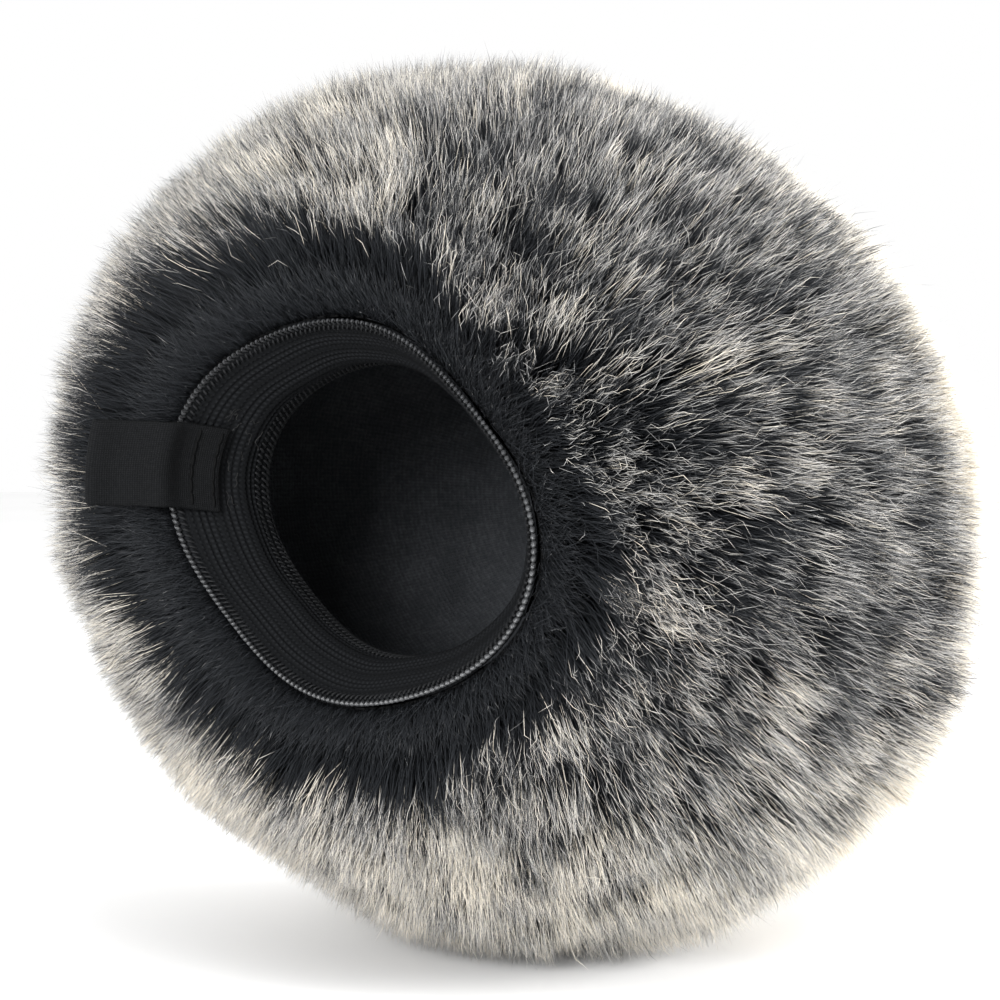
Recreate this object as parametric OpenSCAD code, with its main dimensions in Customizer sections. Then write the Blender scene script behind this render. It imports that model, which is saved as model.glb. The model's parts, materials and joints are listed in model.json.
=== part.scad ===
// Furry windscreen: a hollow ball of faux fur that is pulled over the head of a large microphone.
// It lies on its side. The mouth faces -Y, the crown faces +Y, and +Z is up.
// The origin is the centre of the narrow elastic ring that grips the microphone.
// The pile is soft, so each fur panel is one closed solid that reaches the tips of its pile.

/* [Cover] */
// Radius of the ball over the tips of the pile
ball_r = 78; // [76:0.5:80]
// Length of the pile, from the knitted backing to the tips
pile_len = 20; // [18:0.5:22]
// Thickness of the knitted backing that holds the pile
backing_t = 1.2; // [0.8:0.1:2]
// Thickness of the foam liner that keeps the cover round
foam_t = 6; // [3:0.5:7]
// Thickness of the woven lining
lining_t = 0.8; // [0.5:0.1:1.2]
// Distance from the rim of the mouth back to the centre of the ball
ball_depth = 53; // [51:0.5:55]
// Angle at which the pile leans forward out of the mouth's plane round the rim
crater_angle = 48; // [42:1:50]
// Half the width of the flat patch of pile that the ball lies on
patch_half = 20; // [12:1:24]
// Angle by which the cover is turned about the mouth's axis as it lies
turn = 14; // [-30:1:30]

/* [Mouth] */
// Radius of the open rim
rim_r = 30.4; // [29.4:0.2:31.4]
// Radius of the narrow ring of elastic that grips the microphone
grip_r = 24.5; // [23:0.25:24.5]
// Depth of the elastic band, from the rim to its inner edge
band_depth = 16; // [15:0.5:18]
// Length of the straight ring at the inner edge of the band
grip_len = 6; // [5:0.5:6]
// Thickness of the knitted elastic
band_t = 1.1; // [0.9:0.1:1.3]
// Radius of the corded edge at the rim
rim_cord_r = 0.65; // [0.5:0.05:0.8]
// Radius of the corded edge inside
inner_cord_r = 0.55; // [0.4:0.05:0.7]

/* [Pull tab] */
// Width of the ribbon
tab_w = 13.6; // [10:0.2:15]
// Thickness of one layer of the ribbon
ribbon_t = 0.7; // [0.5:0.05:0.75]
// Length of the loose flap, from the bend over the rim to its folded end
flap_len = 13.4; // [11:0.2:16]
// Length of the sewn root on the band's inner face
root_len = 5.5; // [4.5:0.5:5.5]
// Angle at which the flap leans forward out of the mouth's plane, resting on the pile
flap_rest = 44; // [38:1:55]
// Angle by which the flap is sewn askew
tab_skew = -9; // [-12:1:12]

/* [Thread] */
// Radius of the sewing thread
thread_r = 0.3; // [0.2:0.05:0.3]
// Number of slanted stitches round the rim
rim_stitches = 96; // [60:4:100]
// Number of slanted stitches round the inner edge
inner_stitches = 80; // [50:4:84]
// Number of legs in the zigzag that joins the ends of the band
tack_legs = 8; // [4:2:10]

/* [Hidden] */
$fn = 96;

gap = 0.15;                              // between layers that lie on each other
seam_gap = 0.2;                          // between the cut edges of two halves
move_gap = 0.3;                          // round the flap, which moves
thread_gap = 0.05;                       // between a thread and what it lies on
big = 4 * ball_r;                        // larger than the whole cover

// Depths along the mouth's axis
rim_y = -(band_depth - grip_len / 2);
inner_y = rim_y + band_depth;
funnel_y = inner_y - grip_len;
centre_y = rim_y + ball_depth;
fur_front_y = rim_y + 0.6;
liner_front_y = rim_y + 9;
floor_z = -sqrt(ball_r * ball_r - patch_half * patch_half);

// Radii of the layers, from the pile inwards
neck_angle = 44;                         // where the neck leaves the ball
mouth_r = rim_r + band_t + 2 * thread_r + 0.1;
backing_r = ball_r - pile_len;
fur_in_r = backing_r - backing_t;

// Distances of the liners' faces from the fur's inner face
foam_out = gap;
foam_in = foam_out + foam_t;
lining_out = foam_in + gap;
lining_in = lining_out + lining_t;

// The flap's bend in front of the rim
tab_t = 2 * ribbon_t + 0.1;
bend_y = rim_y - 2 * rim_cord_r - move_gap - tab_t / 2;
bend_r = rim_r - thread_gap - tab_t / 2;

// Radius of the fur's inner face in the neck at depth y.
function neck_r(y) =
    let (foot_r = fur_in_r * sin(neck_angle), foot_y = centre_y - fur_in_r * cos(neck_angle))
    mouth_r + (foot_r - mouth_r) * (y - rim_y) / (foot_y - rim_y);

// Radius at depth y of a layer that lies so far inside the fur's inner face.
function layer_neck_r(inset, y) = neck_r(y) - inset / cos(atan2(neck_r(1) - neck_r(0), 1));

// Radius of the band's inner face in its funnel at depth y.
function funnel_r(y) = rim_r + (grip_r - rim_r) * (y - rim_y) / (funnel_y - rim_y);

// Turns a profile, drawn with its radius along X and its depth along Y, round the mouth's axis.
module round_mouth(angle = 360) {
    rotate([-90, 0, 0]) rotate_extrude(angle = angle) children();
}

// Turns a sewn piece to where it lies. Before the turn, the tab is at -X and the seams at +Z and -Z.
module as_it_lies() {
    rotate([0, turn, 0]) children();
}

// Turns a profile round the mouth's axis on one side of the seam plane.
// side is -1 for the left and 1 for the right.
module half_round_mouth(side) {
    translate([side * seam_gap / 2, 0, 0]) rotate([0, -90 * side, 0]) round_mouth(180) children();
}

// Profile of a ball with a neck that is open at front_y. It lies inset from the fur's inner face.
module sack_profile(inset, front_y) {
    back_y = centre_y - fur_in_r * cos(neck_angle) + 5;
    intersection() {
        translate([0, front_y]) square(big);
        union() {
            translate([0, centre_y]) circle(fur_in_r - inset);
            polygon([
                [0, front_y],
                [layer_neck_r(inset, front_y), front_y],
                [layer_neck_r(inset, back_y), back_y],
                [0, back_y]
            ]);
        }
    }
}

// Profile of a liner between its outer and its inner inset.
module liner_profile(out_inset, in_inset) {
    difference() {
        sack_profile(out_inset, liner_front_y);
        sack_profile(in_inset, liner_front_y - 1);
    }
}

// Profile of the pile and its backing: a hollow ball with a crater round the mouth.
module fur_profile() {
    crater_y = fur_front_y - (ball_r - mouth_r) * tan(crater_angle);
    difference() {
        intersection() {
            translate([0, centre_y]) circle(ball_r);
            translate([0, -big / 2]) square(big);
        }
        sack_profile(0, rim_y - 1);
        polygon([[-1, fur_front_y], [mouth_r, fur_front_y], [ball_r, crater_y], [-1, crater_y]]);
    }
}

// A round line along the seam, over the crown from one side of the neck to the other.
module seam_line(line_r, wire_r, from) {
    translate([0, centre_y, 0]) rotate([0, 90, 0]) rotate([0, 0, from - 90])
        rotate_extrude(angle = 360 - 2 * from) translate([line_r, 0]) circle(wire_r, $fn = 24);
}

// A ring of wire round the mouth's axis.
module ring(centre_r, centre_depth, wire_r) {
    round_mouth() translate([centre_r, centre_depth]) circle(wire_r, $fn = 32);
}

// One straight stitch, centred on the origin and along Y, leaning towards Z.
module stitch(len, lean) {
    rotate([lean, 0, 0]) rotate([-90, 0, 0]) cylinder(h = len, r = thread_r, center = true, $fn = 16);
}

// A row of leaning stitches round the mouth's axis. tip_in leans them with the funnel's wall.
// No stitch lies within skip degrees of -X, where the tab is.
module stitch_row(count, row_r, row_y, len, lean, tip_in = 0, skip = 0) {
    for (i = [0 : count - 1]) {
        at = 360 * (i + 0.5) / count;
        if (abs(at - 180) > skip)
            rotate([0, at, 0]) translate([row_r, row_y, 0]) rotate([0, 0, tip_in]) stitch(len, lean);
    }
}

module fur_panel(side) {
    backing_mid_r = backing_r - backing_t / 2;
    intersection() {
        as_it_lies() difference() {
            half_round_mouth(side) fur_profile();
            seam_line(backing_mid_r, thread_r + 0.1, neck_angle - 1);
        }
        translate([-big / 2, -big / 2, floor_z]) cube(big);
    }
}

module fur_panel_left() { color("#8f8c8a") fur_panel(-1); }
module fur_panel_right() { color("#b0aca6") fur_panel(1); }

module foam_liner(side) {
    as_it_lies() half_round_mouth(side) liner_profile(foam_out, foam_in);
}

module foam_liner_left() { color("#3a3b3e") foam_liner(-1); }
module foam_liner_right() { color("#45464a") foam_liner(1); }

module lining(side) {
    as_it_lies() half_round_mouth(side) liner_profile(lining_out, lining_in);
}

module lining_left() { color("#1c1c20") lining(-1); }
module lining_right() { color("#232328") lining(1); }

module fur_seam_thread() {
    color("#101012") as_it_lies() seam_line(backing_r - backing_t / 2, thread_r, neck_angle);
}

module lining_seam_thread() {
    thread_line_r = fur_in_r - lining_in - thread_r - thread_gap;
    color("#2c2c32") as_it_lies() seam_line(thread_line_r, thread_r, neck_angle);
}

// Holds the fur and the elastic together, behind the rim's cord.
module mouth_seam_thread() {
    middle_r = (rim_r + band_t + mouth_r) / 2;
    color("#101012") ring(middle_r, rim_y + 2 * thread_r, thread_r);
}

// A funnel that is turned into the mouth, with a straight ring at its inner edge.
module elastic_band() {
    color("#18181b") round_mouth() polygon([
        [rim_r, rim_y],
        [grip_r, funnel_y],
        [grip_r, inner_y],
        [grip_r + band_t, inner_y],
        [grip_r + band_t, funnel_y],
        [rim_r + band_t, rim_y]
    ]);
}

module rim_cord() {
    color("#6b6b70") ring(rim_r + rim_cord_r, rim_y - rim_cord_r, rim_cord_r);
}

module inner_cord() {
    color("#4a4a50") ring(grip_r + inner_cord_r, inner_y + inner_cord_r, inner_cord_r);
}

// Slanted stitches on the funnel's inner face, just inside the rim.
module rim_stitch() {
    stitch_len = 2;
    wall_angle = atan2(rim_r - grip_r, funnel_y - rim_y);
    row_y = rim_y + stitch_len / 2 + thread_r;
    row_r = funnel_r(row_y) - (thread_r + 2 * thread_gap) / cos(wall_angle);
    tab_half_angle = asin((tab_w / 2 + 1) / row_r);
    color("#85858a") as_it_lies()
        stitch_row(rim_stitches, row_r, row_y, stitch_len, 20, wall_angle, tab_half_angle);
}

// Slanted stitches on the outside of the straight ring, which bind its edge.
module inner_stitch() {
    stitch_len = 2;
    row_r = grip_r + band_t + thread_r + 2 * thread_gap;
    row_y = inner_y - stitch_len / 2 - thread_r;
    color("#6b6b70") as_it_lies() stitch_row(inner_stitches, row_r, row_y, stitch_len, 20);
}

// Zigzag that joins the ends of the band, on its outside and opposite the tab.
module band_join_tack() {
    leg = (grip_len - 3) / tack_legs;
    row_r = grip_r + band_t + thread_r + thread_gap;
    start_y = funnel_y + leg / 2 + 0.4;
    color("#6b6b70") as_it_lies()
        for (i = [0 : 2 : tack_legs - 1])
            translate([row_r, start_y + i * leg, 0]) rotate([90, 0, 0]) stitch(2.2, 0);
}

// Two layers of ribbon, sewn to the funnel's inner face and bent forward past the rim.
module tab_root() {
    end_y = rim_y + root_len;
    front_y = rim_y - 2 * rim_cord_r;
    wall_r = rim_r - thread_gap;
    half_angle = asin(tab_w / 2 / rim_r);
    color("#141416") as_it_lies() rotate([0, 180 - half_angle, 0])
        round_mouth(2 * half_angle) polygon([
            [wall_r, front_y],
            [wall_r, rim_y],
            [funnel_r(end_y) - thread_gap, end_y],
            [funnel_r(end_y) - thread_gap - tab_t, end_y],
            [wall_r - tab_t, rim_y],
            [wall_r - tab_t, front_y]
        ]);
}

// The loose flap: one ribbon that is folded double at its end, and turns about its bend.
module tab_flap() {
    slot_len = flap_len - tab_t;
    color("#26262a") as_it_lies()
        translate([-bend_r, bend_y, 0]) rotate([0, tab_skew, 0]) rotate([0, 0, flap_rest])
            difference() {
                union() {
                    cylinder(h = tab_w, d = tab_t, center = true);
                    translate([-flap_len / 2, 0, 0]) cube([flap_len, tab_t, tab_w], center = true);
                    translate([-flap_len, 0, 0]) cylinder(h = tab_w, d = tab_t, center = true);
                }
                translate([-slot_len / 2 - tab_t / 2, 0, 0])
                    cube([slot_len, tab_t - 2 * ribbon_t, tab_w + 1], center = true);
            }
}

// Two rows of thread across the root, which sew it to the band.
module tab_box_stitch() {
    row_angle = 2 * asin((tab_w / 2 - 1.5) / rim_r);
    color("#55555a") as_it_lies() for (row_y = [rim_y + 1.2, rim_y + root_len - 1.2]) {
        row_r = funnel_r(row_y) - tab_t - thread_r - 3 * thread_gap - 0.1;
        rotate([0, 180 - row_angle / 2, 0])
            round_mouth(row_angle) translate([row_r, row_y]) circle(thread_r, $fn = 16);
    }
}

fur_panel_left();
fur_panel_right();
foam_liner_left();
foam_liner_right();
lining_left();
lining_right();
fur_seam_thread();
lining_seam_thread();
mouth_seam_thread();
elastic_band();
rim_cord();
inner_cord();
rim_stitch();
inner_stitch();
band_join_tack();
tab_root();
tab_flap();
tab_box_stitch();
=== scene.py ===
"""A furry windscreen: long faux fur over a foam-lined ball, a knitted elastic mouth and a ribbon pull tab."""

import json
import math

import bmesh
import bpy
import numpy as np
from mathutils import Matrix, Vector
from mathutils.kdtree import KDTree


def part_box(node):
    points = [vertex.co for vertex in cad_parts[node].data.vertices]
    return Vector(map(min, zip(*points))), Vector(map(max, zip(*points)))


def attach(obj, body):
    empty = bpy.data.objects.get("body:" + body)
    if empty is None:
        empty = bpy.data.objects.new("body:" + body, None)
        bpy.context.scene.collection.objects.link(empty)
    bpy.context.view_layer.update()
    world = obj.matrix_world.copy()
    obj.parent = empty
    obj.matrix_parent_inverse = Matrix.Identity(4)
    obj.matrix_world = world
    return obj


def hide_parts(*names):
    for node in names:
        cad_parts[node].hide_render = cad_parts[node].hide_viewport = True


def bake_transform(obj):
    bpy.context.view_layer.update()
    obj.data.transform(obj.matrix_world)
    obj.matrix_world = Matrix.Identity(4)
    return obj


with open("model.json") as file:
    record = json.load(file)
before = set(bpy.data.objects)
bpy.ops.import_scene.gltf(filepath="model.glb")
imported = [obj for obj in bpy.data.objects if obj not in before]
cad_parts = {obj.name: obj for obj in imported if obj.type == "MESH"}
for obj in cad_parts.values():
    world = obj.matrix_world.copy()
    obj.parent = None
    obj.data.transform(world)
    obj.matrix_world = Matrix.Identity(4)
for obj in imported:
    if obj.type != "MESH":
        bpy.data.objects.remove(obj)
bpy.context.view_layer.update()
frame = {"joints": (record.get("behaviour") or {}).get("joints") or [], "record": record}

MM = 0.001
TAU = 2 * math.pi

# ---------- Sizes, from the frame ----------
fur_low, fur_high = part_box("fur_panel_right")
BALL_R = fur_high.x
CENTRE_Y = fur_high.y - BALL_R
BALL_CENTRE = np.array([0, CENTRE_Y, 0])
FLOOR_Z = fur_low.z

seam_low, seam_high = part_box("fur_seam_thread")
mouth_thread_low, mouth_thread_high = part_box("mouth_seam_thread")
THREAD_R = (mouth_thread_high.y - mouth_thread_low.y) / 2
SEAM_R = seam_high.y - CENTRE_Y - THREAD_R
NECK_ANGLE = math.acos((CENTRE_Y - seam_low.y) / SEAM_R)
FUR_IN_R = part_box("foam_liner_right")[1].y - CENTRE_Y
BACKING_T = 2 * (SEAM_R - FUR_IN_R)
BACKING_R = FUR_IN_R + BACKING_T
FOOT_R = FUR_IN_R * math.sin(NECK_ANGLE)
FOOT_Y = CENTRE_Y - FUR_IN_R * math.cos(NECK_ANGLE)
LINING_OUT_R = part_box("lining_right")[1].y - CENTRE_Y
LINING_T = 0.8 * MM
LINER_GAP = 0.15 * MM
LINER_FRONT_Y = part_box("lining_right")[0].y

cord_low, cord_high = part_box("rim_cord")
RIM_CORD_R = (cord_high.y - cord_low.y) / 2
RIM_Y = cord_high.y
RIM_R = cord_high.x - 2 * RIM_CORD_R
inner_low, inner_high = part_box("inner_cord")
INNER_CORD_R = (inner_high.y - inner_low.y) / 2
INNER_Y = inner_low.y
GRIP_R = inner_high.x - 2 * INNER_CORD_R
BAND_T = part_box("elastic_band")[1].x - RIM_R
GRIP_LEN = frame["record"]["mounts"][0]["dims"]["length_mm"] * MM
FUNNEL_Y = INNER_Y - GRIP_LEN
MOUTH_R = mouth_thread_high.x + THREAD_R

joint = frame["joints"][0]
PIVOT = Vector(joint["pos_m"])
TURN = math.atan2(PIVOT.z, -PIVOT.x)
TAB_ANGLE = math.pi - TURN
PIVOT_R = math.hypot(PIVOT.x, PIVOT.z)
TAB_W = 13.6 * MM
MIDDLE = {"left": math.pi - TURN, "right": -TURN}

# The cover lies a little squeezed: wider along one diagonal, narrower along the other.
# The rim is squeezed more than the ball, and its sides are a little flattened.
SQUEEZE_ANGLE = math.radians(154)
BALL_SQUEEZE = 0.065
RIM_SQUEEZE = 0.105
FLAT_ANGLE = math.radians(-14)
RIM_FLATTENING = 0.034


def smooth_step(x):
    x = np.clip(x, 0, 1)
    return x * x * (3 - 2 * x)


def squeezed(points):
    """Points of the round cover, moved to where they are as it lies squeezed."""
    out = np.array(points, float)
    toward_rim = smooth_step((CENTRE_Y - out[..., 1]) / (CENTRE_Y - RIM_Y))
    near_axis = np.hypot(out[..., 0], out[..., 2]) / RIM_R
    toward_rim = toward_rim * (1 - smooth_step(near_axis - 1.15))
    amount = BALL_SQUEEZE + (RIM_SQUEEZE - BALL_SQUEEZE) * toward_rim
    angle = np.arctan2(out[..., 2], out[..., 0])
    scale = 1 + amount * np.cos(2 * (angle - SQUEEZE_ANGLE))
    scale = scale + RIM_FLATTENING * toward_rim * np.cos(4 * (angle - FLAT_ANGLE))
    out[..., 0] *= scale
    out[..., 2] *= scale
    return out


def unit(vectors):
    return vectors / np.linalg.norm(vectors, axis=-1, keepdims=True)


def waves(points, wavelength, seed, count=16):
    """A smooth random field over points, mostly between -1 and 1."""
    draw = np.random.default_rng(seed)
    directions = unit(draw.normal(size=(count, 3)))
    directions *= (TAU / wavelength * draw.uniform(0.7, 1.4, count))[:, None]
    phases = draw.uniform(0, TAU, count)
    return np.sin(points @ directions.T + phases).sum(-1) / math.sqrt(count)


def averaged(values, width):
    """Values averaged over that odd number of neighbours."""
    return np.convolve(np.pad(values, width // 2, "edge"), np.ones(width) / width, "valid")


def run_length(line):
    """The distance along a line, at each of its points."""
    return np.concatenate([[0], np.cumsum(np.linalg.norm(np.diff(line, axis=0), axis=1))])


def read_line(at, length, line):
    """Points of a flat line at distances along it."""
    return np.stack([np.interp(at, length, line[:, k]) for k in (0, 1)], 1)


def ring_directions(turn):
    """Directions out from the mouth's axis at those angles, and round it."""
    c, s, zero = np.cos(turn), np.sin(turn), np.zeros(len(turn))
    return np.stack([c, zero, s], 1), np.stack([-s, zero, c], 1)


def seam_distance(points):
    """How far points lie to the right of the plane of the seams."""
    return points[:, 0] * math.cos(TURN) - points[:, 2] * math.sin(TURN)


# ---------- Materials ----------
def node(tree, kind, inputs=None, **settings):
    """A shader node with its settings and inputs; an input is a value or another node's socket."""
    made = tree.nodes.new(kind)
    for key, value in settings.items():
        setattr(made, key, value)
    for key, value in (inputs or {}).items():
        if isinstance(value, bpy.types.NodeSocket):
            tree.links.new(value, made.inputs[key])
        else:
            made.inputs[key].default_value = value
    return made


def blank_material(name, roughness, specular):
    made = bpy.data.materials.new(name)
    made.use_nodes = True
    tree = made.node_tree
    surface = tree.nodes["Principled BSDF"]
    surface.inputs["Roughness"].default_value = roughness
    surface.inputs["Specular IOR Level"].default_value = specular
    return made, tree, surface


def grey(value, warmth=0.0):
    """A grey of that linear value; warmth shifts it from bluish to cream."""
    return (value * (1 + warmth), value * (1 + 0.25 * warmth), value * (1 - warmth), 1.0)


def ramp(tree, factor, stops):
    made = node(tree, "ShaderNodeValToRGB", {"Fac": factor})
    elements = made.color_ramp.elements
    while len(elements) < len(stops):
        elements.new(0.5)
    for element, (position, colour) in zip(elements, stops):
        element.position = position
        element.color = colour
    return made.outputs["Color"]


def math_node(tree, operation, a, b=0.0, clamp=False):
    made = node(tree, "ShaderNodeMath", {0: a, 1: b}, operation=operation, use_clamp=clamp)
    return made.outputs[0]


def weighted_sum(tree, a, a_weight, b, b_weight):
    return math_node(
        tree, "ADD", math_node(tree, "MULTIPLY", a, a_weight), math_node(tree, "MULTIPLY", b, b_weight)
    )


def mix_colour(tree, factor, a, b):
    colour_a, colour_b, result = 6, 7, 2
    made = node(tree, "ShaderNodeMix", {0: factor, colour_a: a, colour_b: b}, data_type="RGBA")
    return made.outputs[result]


def noise(tree, coordinate, scale, detail=3.0, roughness=0.5):
    settings = {"Vector": coordinate, "Scale": scale, "Detail": detail, "Roughness": roughness}
    return node(tree, "ShaderNodeTexNoise", settings).outputs["Fac"]


def finish(tree, surface, colour, height=None, distance=0.0):
    """Gives a surface its colour and, from a height, its relief."""
    tree.links.new(colour, surface.inputs["Base Color"])
    if height is not None:
        relief = node(tree, "ShaderNodeBump", {"Height": height, "Distance": distance, "Strength": 1.0})
        tree.links.new(relief.outputs["Normal"], surface.inputs["Normal"])


def object_coordinate(tree):
    return node(tree, "ShaderNodeTexCoord").outputs["Object"]


def cloth_coordinates(tree):
    """The cloth's own coordinates in metres: its vector, and the two directions apart."""
    uv = node(tree, "ShaderNodeUVMap", uv_map="cloth").outputs["UV"]
    parts = node(tree, "ShaderNodeSeparateXYZ", {"Vector": uv})
    return uv, parts.outputs["X"], parts.outputs["Y"]


def stripes(tree, coordinate, pitch):
    """A wave from 0 to 1 with that pitch along a coordinate in metres."""
    wave = math_node(tree, "SINE", math_node(tree, "MULTIPLY", coordinate, TAU / pitch))
    return math_node(tree, "ADD", math_node(tree, "MULTIPLY", wave, 0.5), 0.5)


def fur_material():
    """Dark roots and pale tips. U runs from root to tip, and V is how pale the hair is, with painted light in
    it below and, in part, at the back.
    """
    made, tree, surface = blank_material("fur_fibre", roughness=0.6, specular=0.18)
    uv = node(tree, "ShaderNodeUVMap", uv_map="OFBake").outputs["UV"]
    parts = node(tree, "ShaderNodeSeparateXYZ", {"Vector": uv})
    along, paleness = parts.outputs["X"], parts.outputs["Y"]
    pale_part = weighted_sum(tree, paleness, 0.26, math_node(tree, "POWER", paleness, 3.0), 0.20)
    start = math_node(tree, "SUBTRACT", 0.92, pale_part)
    shift = math_node(tree, "SUBTRACT", along, start)
    share = math_node(tree, "DIVIDE", shift, 0.13, clamp=True)
    tips = ramp(tree, paleness, [
        (0.0, grey(0.03, -0.10)), (0.2, grey(0.10, -0.03)), (0.5, grey(0.46, 0.02)), (1.0, grey(0.80, 0.13)),
    ])
    roots = ramp(tree, along, [
        (0.0, grey(0.008, -0.15)), (0.55, grey(0.017, -0.14)), (1.0, grey(0.028, -0.10)),
    ])
    finish(tree, surface, mix_colour(tree, share, roots, tips))
    return made


def backing_material():
    """Black knitted ground of the fur: rows of small loops."""
    made, tree, surface = blank_material("fur_ground_knit", roughness=0.95, specular=0.05)
    _, along, around = cloth_coordinates(tree)
    rows = math_node(tree, "MULTIPLY", stripes(tree, along, 1.1 * MM), stripes(tree, around, 0.9 * MM))
    fuzz = noise(tree, object_coordinate(tree), 1500.0)
    height = weighted_sum(tree, rows, 1.0, fuzz, 0.6)
    colour = ramp(tree, height, [(0.1, grey(0.002)), (0.9, grey(0.008, -0.05))])
    finish(tree, surface, colour, height, 0.3 * MM)
    return made


def foam_material():
    """Charcoal foam with open cells of about a millimetre."""
    made, tree, surface = blank_material("foam_open_cell", roughness=0.95, specular=0.1)
    place = object_coordinate(tree)
    cells = node(tree, "ShaderNodeTexVoronoi", {"Vector": place, "Scale": 900.0}).outputs["Distance"]
    mottle = noise(tree, place, 120.0)
    both = weighted_sum(tree, cells, 0.7, mottle, 0.4)
    colour = ramp(tree, both, [(0.1, grey(0.012)), (0.8, grey(0.06, 0.02))])
    finish(tree, surface, colour, cells, 0.5 * MM)
    return made


def lining_material():
    """Charcoal felted cloth: a faint weave under short fuzz."""
    made, tree, surface = blank_material("lining_felt", roughness=0.92, specular=0.15)
    _, along, around = cloth_coordinates(tree)
    place = object_coordinate(tree)
    weave = math_node(tree, "ADD", stripes(tree, along, 0.9 * MM), stripes(tree, around, 0.7 * MM))
    fuzz = noise(tree, place, 1100.0, detail=5.0, roughness=0.7)
    patches = noise(tree, place, 90.0, detail=2.0)
    height = weighted_sum(tree, weave, 0.09, fuzz, 1.0)
    tone = weighted_sum(tree, height, 0.55, patches, 0.35)
    colour = ramp(tree, tone, [
        (0.25, grey(0.014, -0.10)), (0.5, grey(0.034, -0.09)), (0.8, grey(0.08, -0.07)),
    ])
    finish(tree, surface, colour, height, 0.35 * MM)
    return made


def elastic_material():
    """Black knitted elastic: fine ribs across it, broken by the rubber's rows."""
    made, tree, surface = blank_material("elastic_knit", roughness=0.85, specular=0.1)
    _, along, around = cloth_coordinates(tree)
    ribs = stripes(tree, around, 0.95 * MM)
    rows = stripes(tree, along, 1.0 * MM)
    fuzz = noise(tree, object_coordinate(tree), 2200.0)
    knit = math_node(tree, "MULTIPLY", ribs, rows)
    height = weighted_sum(tree, knit, 1.0, fuzz, 0.5)
    colour = ramp(tree, height, [
        (0.1, grey(0.003, -0.13)), (0.6, grey(0.006, -0.13)), (1.0, grey(0.01, -0.1)),
    ])
    finish(tree, surface, colour, height, 0.16 * MM)
    return made


def yarn_material(name, dark, light, roughness=0.6, specular=0.2):
    """A yarn: fine filaments, with lighter worn patches."""
    made, tree, surface = blank_material(name, roughness=roughness, specular=specular)
    place = object_coordinate(tree)
    filaments = noise(tree, place, 4200.0, detail=4.0, roughness=0.65)
    wear = noise(tree, place, 260.0, detail=2.0)
    both = weighted_sum(tree, filaments, 0.7, wear, 0.4)
    finish(tree, surface, ramp(tree, both, [(0.3, dark), (0.75, light)]), filaments, 0.08 * MM)
    return made


def ribbon_material():
    """Black woven ribbon: a plain weave under a fine fuzz."""
    made, tree, surface = blank_material("ribbon_weave", roughness=0.9, specular=0.1)
    uv, along, across = cloth_coordinates(tree)
    warp = stripes(tree, across, 0.3 * MM)
    weft = stripes(tree, along, 0.36 * MM)
    weave = weighted_sum(tree, warp, 0.5, weft, 0.5)
    fuzz = noise(tree, uv, 1800.0, detail=5.0, roughness=0.7)
    height = weighted_sum(tree, weave, 0.5, fuzz, 0.7)
    colour = ramp(tree, height, [
        (0.25, grey(0.002, -0.12)), (0.6, grey(0.005, -0.10)), (1.0, grey(0.012, -0.04)),
    ])
    finish(tree, surface, colour, height, 0.18 * MM)
    return made


def floor_material():
    made, tree, surface = blank_material("studio_floor", roughness=0.7, specular=0.2)
    tone = noise(tree, object_coordinate(tree), 3.0)
    finish(tree, surface, ramp(tree, tone, [(0.3, grey(0.93)), (0.7, grey(0.96))]))
    return made


# ---------- Meshes ----------
def make_object(name, points, faces, material, uv_name=None, uv=None):
    """A mesh object from points and one or more arrays of faces, with a UV per corner if given."""
    faces = faces if isinstance(faces, list) else [faces]
    sizes = np.concatenate([np.full(len(f), f.shape[1]) for f in faces])
    corners = np.concatenate([f.reshape(-1) for f in faces])
    mesh = bpy.data.meshes.new(name)
    mesh.vertices.add(len(points))
    mesh.vertices.foreach_set("co", np.asarray(points, np.float32).ravel())
    mesh.loops.add(len(corners))
    mesh.loops.foreach_set("vertex_index", corners.astype(np.int32))
    mesh.polygons.add(len(sizes))
    mesh.polygons.foreach_set("loop_start", (np.cumsum(sizes) - sizes).astype(np.int32))
    mesh.update(calc_edges=True)
    mesh.polygons.foreach_set("use_smooth", np.ones(len(sizes), bool))
    if uv is not None:
        mesh.uv_layers.new(name=uv_name).data.foreach_set("uv", np.asarray(uv, np.float32).ravel())
    mesh.materials.append(material)
    made = bpy.data.objects.new(name, mesh)
    bpy.context.scene.collection.objects.link(made)
    return made


def on_shell(obj, slot, *replaced):
    """The piece rides on the cover and stands for the CAD nodes it hides; its slot is not used."""
    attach(obj, "shell")
    if replaced:
        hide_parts(*replaced)
    return obj


def grid_faces(rows, cols, wrap_rows=False, wrap_cols=False):
    """Quads of a grid of points stored row by row, and their corners' row and column numbers."""
    i, j = np.meshgrid(np.arange(rows - (not wrap_rows)), np.arange(cols - (not wrap_cols)), indexing="ij")
    i, j = i.ravel(), j.ravel()
    corner_rows = np.stack([i, i + 1, i + 1, i], 1)
    corner_cols = np.stack([j, j, j + 1, j + 1], 1)
    faces = (corner_rows % rows) * cols + corner_cols % cols
    return faces, corner_rows, corner_cols


def merge_close(obj, distance=1e-6):
    """Joins points that lie together, drops faces of no size and turns all faces outwards."""
    work = bmesh.new()
    work.from_mesh(obj.data)
    bmesh.ops.remove_doubles(work, verts=work.verts, dist=distance)
    bmesh.ops.dissolve_degenerate(work, edges=work.edges, dist=distance)
    bmesh.ops.recalc_face_normals(work, faces=work.faces)
    work.to_mesh(obj.data)
    work.free()
    return obj


def ring_faces(rings, sides):
    """Faces round a stack of rings, and the two that close its ends."""
    faces, _, _ = grid_faces(rings, sides, wrap_cols=True)
    first = np.arange(sides)
    return faces, np.stack([first[::-1], first + (rings - 1) * sides])


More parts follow.
